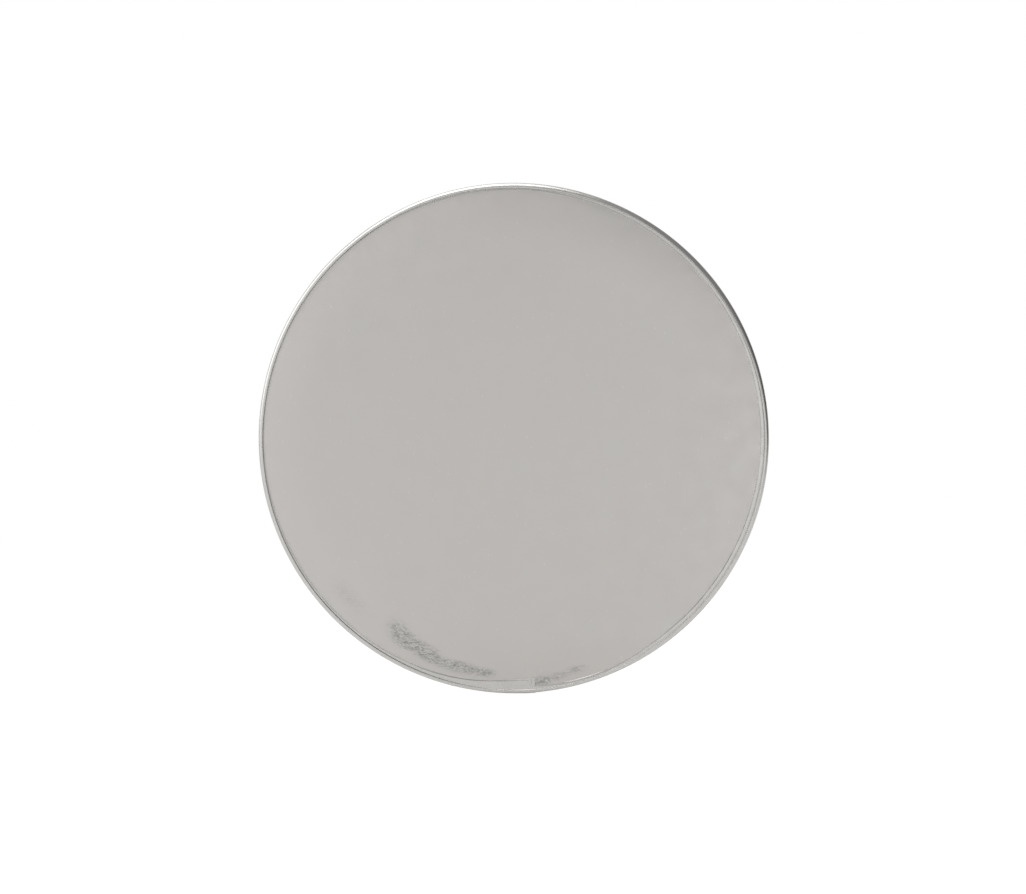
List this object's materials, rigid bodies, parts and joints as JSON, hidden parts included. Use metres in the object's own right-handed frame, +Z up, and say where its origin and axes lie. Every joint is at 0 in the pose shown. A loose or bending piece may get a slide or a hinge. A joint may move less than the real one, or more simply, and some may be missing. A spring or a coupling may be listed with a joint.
{
  "type": "collapsible reflector disc",
  "caption": "Round pop-open photographic reflector with a silver side and a white side, held tight by a sprung steel hoop in a rolled silver tape rim.",
  "frame": {"origin": "centre of the disc, at the middle of its thickness", "axes": "-Y out of the silver side, +Y out of the white side, +Z up, +X to the right as seen facing the silver side"},
  "size_m": [0.56, 0.0088, 0.5604],
  "materials": {
    "silver_fabric": "metallised satin laminate",
    "white_fabric": "matt woven nylon",
    "silver_tape": "metallised satin laminate",
    "grey_thread": "twisted polyester",
    "white_thread": "twisted polyester",
    "label_cloth": "woven satin, blank",
    "spring_steel": "rolled, oiled",
    "sleeve_steel": "zinc plated",
    "rivet_aluminium": "plain",
    "shrink_wrap": "heat-shrunk, satin"
  },
  "bodies": {
    "left_half": {"hoop_band_left": "spring_steel", "hoop_joint_sleeve": "sleeve_steel", "hoop_joint_rivets": "rivet_aluminium", "hoop_joint_wrap": "shrink_wrap", "silver_face_left": "silver_fabric", "white_back_left": "white_fabric", "rim_tape_left": "silver_tape", "face_stitching_left": "grey_thread", "back_stitching_left": "white_thread"},
    "right_half": {"hoop_band_right": "spring_steel", "silver_face_right": "silver_fabric", "white_back_right": "white_fabric", "rim_tape_right": "silver_tape", "rim_tape_lap": "silver_tape", "lap_tack_stitching": "grey_thread", "face_stitching_right": "grey_thread", "back_stitching_right": "white_thread", "care_label": "label_cloth"}
  },
  "joints": [
    {"name": "fold_in_half", "type": "hinge", "parent": "left_half", "child": "right_half", "pos_m": [0, -0.0048, 0], "axis": [0, 0, -1], "range_deg": [0, 170], "stiffness_Nm_per_rad": 0.8}
  ]
}
